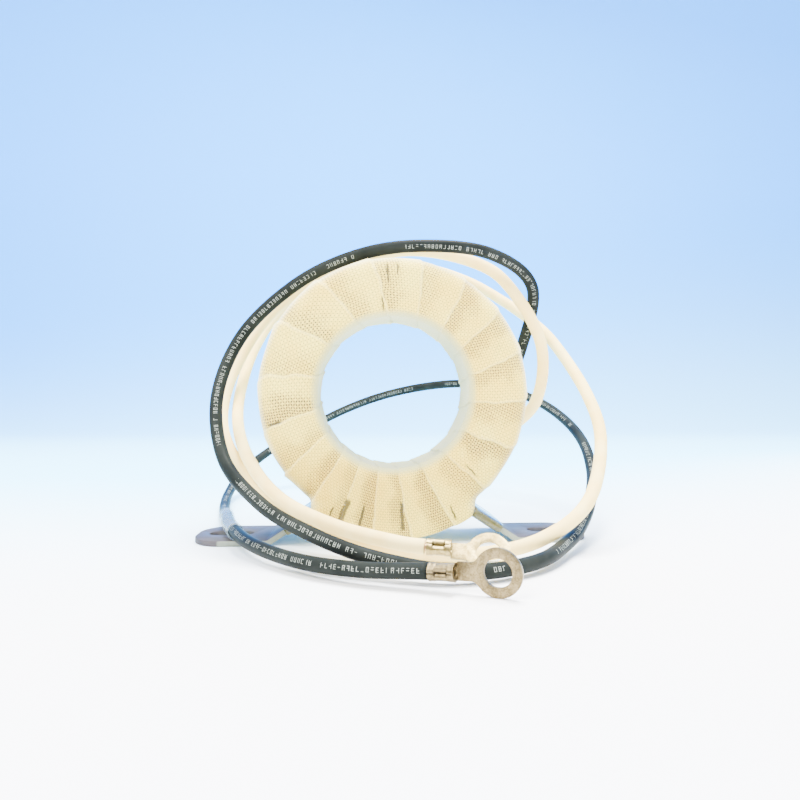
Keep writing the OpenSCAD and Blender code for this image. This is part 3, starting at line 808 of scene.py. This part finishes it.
def cloth_finish():
    f = Finish("woven_cloth")
    cloth = f.uv("cloth")
    u = f.axis(cloth, "X")
    v = f.axis(cloth, "Y")
    lay = f.uv("lap")
    lap = f.axis(lay, "X")
    shade = f.axis(lay, "Y")
    rim = f.uv("rim")
    inside = f.axis(rim, "X")
    outside = f.axis(rim, "Y")
    place = f.place()
    # Plain weave: threads along and across pass over each other by turns.
    drift = f.noise(place, 260, 2) - 0.5
    along = ((u / WEAVE + drift * 0.9) * math.pi).call("SINE")
    across = ((v / WEAVE + drift * 0.9) * math.pi).call("SINE")
    thread = along * across * 0.5 + 0.5
    hole = (1 - along.call("ABSOLUTE")) * (1 - across.call("ABSOLUTE"))
    broad = f.noise(place, 70, 3, 0.6)
    patch = f.noise(place, 170, 3, 0.6)
    fine = f.noise(place, 900, 3, 0.6)
    # Two layers lie under a turn's first half; the second half is thin and lets the dark through.
    thin = (lap + (patch - 0.5) * 1.2).step(0.32, 0.85) * (1 - lap.step(0.94, 1.0) * 0.6)
    thin = thin * (0.4 + shade * 0.6) * (1 - inside)
    hole = (hole + thin * 0.16).step(0.22, 0.46)
    edge_shadow = lap.step(0.93, 1.0) * patch.step(0.4, 0.6)
    colour = f.mix(broad.step(0.3, 0.7), CREAM, PALE_CREAM)
    colour = f.mix((1 - thread) * (0.4 + thin * 0.3), colour, BETWEEN_THREADS)
    colour = f.mix(thin * 0.38, colour, THIN_CLOTH)
    colour = f.mix((hole * (0.6 + thin * 0.7) * (0.5 + fine)).call("MINIMUM", 1), colour, PINHOLE)
    colour = f.mix(edge_shadow * 0.4, colour, UNDER_EDGE)
    colour = f.mix((1 - lap.step(0.02, 0.09)) * 0.15, colour, LIT_EDGE)
    # Painted shade and painted reflection: the cloth inside the window is tinted grey-green.
    colour = f.mix(inside * (0.6 + patch * 0.4), colour, PAINTED_WINDOW_SHADE)
    # Painted highlight: the outer rim is made pale, as where back light catches the cloth's edge.
    colour = f.mix(outside * 0.55, colour, PAINTED_RIM_LIGHT)
    # Painted shade: dark slits where the turns pull apart, drawn in colour and bump only.
    x, y, z = (f.axis(place, name) for name in "XYZ")
    z = COIL_Z - z
    around = x.call("ARCTAN2", z) * math.degrees(1) + (fine - 0.5) * 1.6
    out = (x * x + z * z).call("SQRT") * (1 / MM) + (patch - 0.5) * 4
    front = (-1 * y).step(7 * MM, 8 * MM)
    slits = 0
    for at, low, high, half in SLITS:
        gap = 1 - (around - at).call("ABSOLUTE").step(half * 0.5, half)
        begun = out.step(low - SLIT_SOFT, low + SLIT_SOFT)
        ended = out.step(high - SLIT_SOFT, high + SLIT_SOFT)
        slits = gap * begun * (1 - ended) + slits
    slits = (slits * front).call("MINIMUM", 1)
    colour = f.mix(slits * 0.88, colour, PAINTED_SLIT_SHADE)
    height = thread * 0.6 - hole * (0.7 + thin * 0.6) + fine * 0.35 - slits * 2
    normal = f.bump(height, 0.2 * MM, 0.9)
    return f.done(
        Base_Color=colour, Roughness=fine * 0.2 + 0.72, Normal=normal,
        Sheen_Weight=0.25, Sheen_Roughness=0.5, Specular_IOR_Level=0.25,
    )


def insulation_finish(name, low, high, gloss, print_colour=None):
    """Smooth wire insulation with faint draw lines, handling marks and, if asked, rows of plain marks."""
    f = Finish(name)
    along = f.uv("along")
    u = f.axis(along, "X")
    v = f.axis(along, "Y")
    place = f.place()
    cloudy = f.noise(place, 90, 3, 0.6)
    colour = f.mix(cloudy.step(0.3, 0.7), low, high)
    smudge = f.noise(place, 320, 4, 0.7)
    if print_colour:
        # Each mark is a random choice of five strokes in a cell of its own.
        cell = v / MARK_CELL
        number = cell.call("FLOOR")
        x = cell.call("FRACT")
        y = ((u + 0.5).call("FRACT") - 0.5) * math.pi * LEAD_D / MM

        def chance(salt, share):
            drawn = f.node("ShaderNodeTexWhiteNoise", {"noise_dimensions": "1D"}, {"W": number + salt})
            return drawn.call("LESS_THAN", share)

        def bar(value, middle, half):
            return (value - middle).call("ABSOLUTE").call("LESS_THAN", half)

        upright = bar(x, 0.22, 0.06) * chance(0.1, 0.75) + bar(x, 0.66, 0.06) * chance(0.2, 0.55)
        level = (
            bar(y, 0.46, 0.06) * chance(0.3, 0.6)
            + bar(y, 0, 0.06) * chance(0.4, 0.5)
            + bar(y, -0.46, 0.06) * chance(0.5, 0.55)
        )
        mark = (upright * bar(y, 0, 0.52) + level * bar(x, 0.44, 0.26)).call("MINIMUM", 1)
        mark = mark * chance(0.6, 0.86) * (v / MARK_RUN).call("FRACT").call("LESS_THAN", 0.84)
        colour = f.mix(mark * (0.1 + smudge * 0.8).call("MINIMUM", 1), colour, print_colour)
    ripple_height = f.noise(place, 500, 2) * 0.4 + f.noise(place, 120, 2)
    normal = f.bump(ripple_height, 0.05 * MM, 0.5)
    rough = smudge * 0.2 + 0.28
    return f.done(Base_Color=colour, Roughness=rough, Normal=normal, Specular_IOR_Level=gloss, IOR=1.14)


def zinc_finish():
    f = Finish("zinc_plate")
    place = f.place()
    drift = f.noise(place, 55, 3, 0.55, 0.6)
    film = f.node(
        "ShaderNodeValToRGB",
        {"stops": [
            (0.25, (0.038, 0.056, 0.056)), (0.45, (0.064, 0.060, 0.068)),
            (0.6, (0.084, 0.074, 0.080)), (0.8, (0.090, 0.108, 0.088)),
        ]},
        [drift],
    )
    grain = f.noise(f.node("ShaderNodeMapping", inputs={"Vector": place, "Scale": (120, 900, 900)}), 1, 3, 0.6)
    pits = f.noise(place, 700, 3, 0.6)
    rough = grain * 0.18 + pits * 0.12 + 0.3
    normal = f.bump(grain * 0.6 + pits * 0.6, 0.03 * MM, 0.4)
    # Painted highlight: the long edges are made paler than the faces, where they catch the light.
    edge = f.axis(place, "Y").call("ABSOLUTE").step(10.45 * MM, 10.58 * MM)
    film = f.mix(edge * 0.8, film, (0.26, 0.29, 0.23))
    return f.done(Base_Color=film, Metallic=0.12, Roughness=rough, Normal=normal, Specular_IOR_Level=0.3, IOR=1.1)


def tin_finish(name, low, high):
    f = Finish(name)
    place = f.place()
    cloud = f.noise(place, 700, 4, 0.65)
    scuff = f.noise(place, 2600, 3, 0.6)
    colour = f.mix((cloud * 0.6 + scuff * 0.4).step(0.34, 0.66), low, high)
    crevice = f.node("ShaderNodeAttribute", {"attribute_name": "crevice"}, output="Fac")
    # Painted shade in the crimp and bore, with the seam's dark line.
    colour = f.mix(crevice * 0.85, colour, (0.035, 0.028, 0.018))
    normal = f.bump(cloud + scuff * 0.5, 0.04 * MM, 0.5)
    return f.done(Base_Color=colour, Metallic=0.9, Roughness=cloud * 0.25 + 0.28, Normal=normal)


def fibre_finish():
    f = Finish("loose_threads")
    cloud = f.noise(f.place(), 500, 2)
    colour = f.mix(cloud, (0.85, 0.68, 0.30), (0.98, 0.88, 0.58))
    return f.done(Base_Color=colour, Roughness=cloud * 0.2 + 0.6, Normal=f.bump(cloud, 0.02 * MM, 0.3))


def strand_finish():
    f = Finish("copper_strands")
    place = f.place()
    twist = f.noise(place, 1500, 2)
    colour = f.mix(twist, (0.55, 0.33, 0.2), (0.85, 0.62, 0.45))
    return f.done(Base_Color=colour, Metallic=1.0, Roughness=0.35, Normal=f.bump(twist, 0.1 * MM))


def varnish_finish():
    f = Finish("varnished_cloth")
    place = f.place()
    cloud = f.noise(place, 200, 4, 0.6)
    colour = f.mix(cloud.step(0.3, 0.75), (0.040, 0.040, 0.008), (0.13, 0.125, 0.03))
    weave = f.noise(f.node("ShaderNodeMapping", inputs={"Vector": place, "Scale": (1400, 2200, 1400)}), 1, 1)
    normal = f.bump(cloud + weave * 0.3, 0.12 * MM, 0.6)
    return f.done(
        Base_Color=colour, Roughness=cloud * 0.2 + 0.18, Normal=normal, Coat_Weight=0.5, Coat_Roughness=0.15,
    )


def clear_finish():
    f = Finish("clear_sleeve")
    place = f.place()
    haze = f.noise(place, 400, 3, 0.6)
    colour = f.mix(haze, (0.20, 0.25, 0.27), (0.42, 0.48, 0.48))
    return f.done(
        Base_Color=colour, Roughness=haze * 0.25 + 0.15, Alpha=haze * 0.15 + 0.28,
        Normal=f.bump(haze, 0.05 * MM, 0.4), Specular_IOR_Level=0.6,
    )


def hidden_finish(name, low, high, metallic, rough, scale):
    f = Finish(name)
    cloud = f.noise(f.place(), scale, 3, 0.6)
    return f.done(
        Base_Color=f.mix(cloud, low, high), Metallic=metallic, Roughness=cloud * 0.2 + rough,
        Normal=f.bump(cloud, 0.05 * MM, 0.4),
    )


strands = strand_finish()
varnish = varnish_finish()
dress(tape, cloth_finish())
dress(black_lead, insulation_finish(
    "black_insulation", (0.009, 0.011, 0.010), (0.017, 0.020, 0.018), 0.12, print_colour=(0.42, 0.46, 0.40),
))
dress(white_lead, insulation_finish("white_insulation", (0.94, 0.67, 0.22), (0.98, 0.77, 0.32), 0.3))
dress(strap, zinc_finish())
dress(marker, clear_finish())
# One tinned copper in two copies: the black lead's lug is painted darker as shade, the white lead's lighter as lit.
dress(black_lug, tin_finish("tin_painted_shade", (0.10, 0.072, 0.03), (0.25, 0.19, 0.09)))
dress(white_lug, tin_finish("tin_painted_light", (0.26, 0.19, 0.06), (0.52, 0.40, 0.16)))
bundles = strand_bundle(strands)
black_strands = make_strands(bundles, "black_lead_wires", black_place)
white_strands = make_strands(bundles, "white_lead_wires", white_place)
fibres = loose_fibres(fibre_finish()).grow(
    tape, "loose_tape_fibres", {"Density": 3.0e5, "Fibre radius": 0.03 * MM, "Seed": SEED}
)
for piece in (left_sleeve, right_sleeve, NODES["saddle_pad"]):
    dress(piece, varnish)
for node, name, low, high, metallic, rough, scale in (
    ("steel_core", "core_strip", (0.3, 0.3, 0.33), (0.5, 0.5, 0.53), 1.0, 0.3, 300),
    ("core_insulation", "core_paper", (0.6, 0.5, 0.3), (0.75, 0.66, 0.44), 0.0, 0.7, 300),
    ("secondary_winding", "enamelled_copper", (0.45, 0.18, 0.07), (0.65, 0.3, 0.13), 0.8, 0.25, 300),
    ("winding_film", "amber_film", (0.75, 0.6, 0.25), (0.85, 0.72, 0.38), 0.0, 0.15, 200),
):
    dress(NODES[node], hidden_finish(name, low, high, metallic, rough, scale))

# ---- floor and light ------------------------------------------------------


def make_sweep():
    """A pale floor that curves up into a wall well behind the object."""
    depth, rise, reach = 0.55, 0.45, 2.4
    line = [(-reach, 0.0), (depth, 0.0)]
    bend_parts = 24
    for i in range(1, bend_parts + 1):
        a = math.pi / 2 * i / bend_parts
        line.append((depth + rise * math.sin(a), rise * (1 - math.cos(a))))
    line.append((depth + rise, reach))
    points = [(x, y, z) for y, z in line for x in (-reach, reach)]
    faces = [(2 * i, 2 * i + 1, 2 * i + 3, 2 * i + 2) for i in range(len(line) - 1)]
    floor = add_mesh("studio_sweep", points, faces)
    f = Finish("pale_sweep")
    place = f.place()
    x, y, z = (f.axis(place, name) for name in "XYZ")
    far = y - x * 0.25 + z * 1.2
    # Painted shade and painted reflection: behind the middle of the object the floor turns blue sooner.
    painted_shade_middle = 1 - (x / 0.3).call("ABSOLUTE").step(0.2, 1.0)
    first = (far + painted_shade_middle * 0.05).step(-0.03, 0.24)
    second = far.step(0.25, 1.3)
    colour = f.mix(first, (0.97, 0.955, 0.95), (0.30, 0.78, 0.97))
    colour = f.mix(second, colour, (0.01, 0.42, 0.97))
    glow = f.mix(first, (0.0, 0.0, 0.0), (0.3, 1.15, 2.2))
    glow = f.mix(second, glow, (0.0, 0.45, 2.7))
    # Close to the object the lamps alone light the floor, so that its shadows stay.
    beyond = (x * x + y * y).call("SQRT").step(0.16, 0.42)
    glow = f.mix(beyond * (1 - first), glow, (2.2, 2.1, 2.1))
    dress(floor, f.done(
        Base_Color=colour, Roughness=0.9, Specular_IOR_Level=0.1, Emission_Color=glow, Emission_Strength=1.0,
    ))


def make_light(name, place, aim, size, power, colour=(1, 1, 1)):
    data = bpy.data.lights.new(name, "AREA")
    data.shape = "RECTANGLE"
    data.size, data.size_y = size
    data.energy = power
    data.color = colour
    lamp = bpy.data.objects.new(name, data)
    lamp.location = place
    lamp.rotation_euler = (Vector(aim) - Vector(place)).to_track_quat("-Z", "Y").to_euler()
    bpy.context.collection.objects.link(lamp)


def make_world():
    world = bpy.data.worlds.new("studio")
    world.use_nodes = True
    background = world.node_tree.nodes["Background"].inputs
    background["Color"].default_value = (0.74, 0.89, 1.0, 1)
    background["Strength"].default_value = 0.7
    bpy.context.scene.world = world


make_sweep()
make_world()
make_light("key", (-0.35, -0.45, 0.7), (0, 0, 0.03), (0.45, 0.45), 27, (1.0, 0.96, 0.90))
make_light("top", (0.1, 0.1, 0.9), (0, 0, 0), (0.5, 0.5), 62)
make_light("right", (0.6, -0.3, 0.4), (0, 0, 0.03), (0.4, 0.6), 6, (0.9, 0.95, 1.0))
make_light("back", (0.0, 0.5, 0.5), (0, 0.2, 0.5), (1.2, 0.4), 4, (0.8, 0.9, 1.0))

# ---- attach the pieces and hide the CAD nodes they stand for --------------

for piece, node, finish in (
    (black_lead, "black_lead", "black_insulation"), (white_lead, "white_lead", "white_insulation"),
    (marker, "marker_sleeve", "clear_sleeve"), (tape, "cloth_tape", "cloth_tape"),
    (strap, "mounting_bracket", "zinc_plate"), (black_lug, "black_lead_terminal", "tinned_copper"),
    (white_lug, "white_lead_terminal", "tinned_copper"), (fibres, "cloth_tape", "cloth_tape"),
    (black_strands, "black_lead_strands", "bare_strands"), (white_strands, "white_lead_strands", "bare_strands"),
    (left_sleeve, "left_arm_sleeve", "varnished_cloth"), (right_sleeve, "right_arm_sleeve", "varnished_cloth"),
):
    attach(piece, "root")
    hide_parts(node)
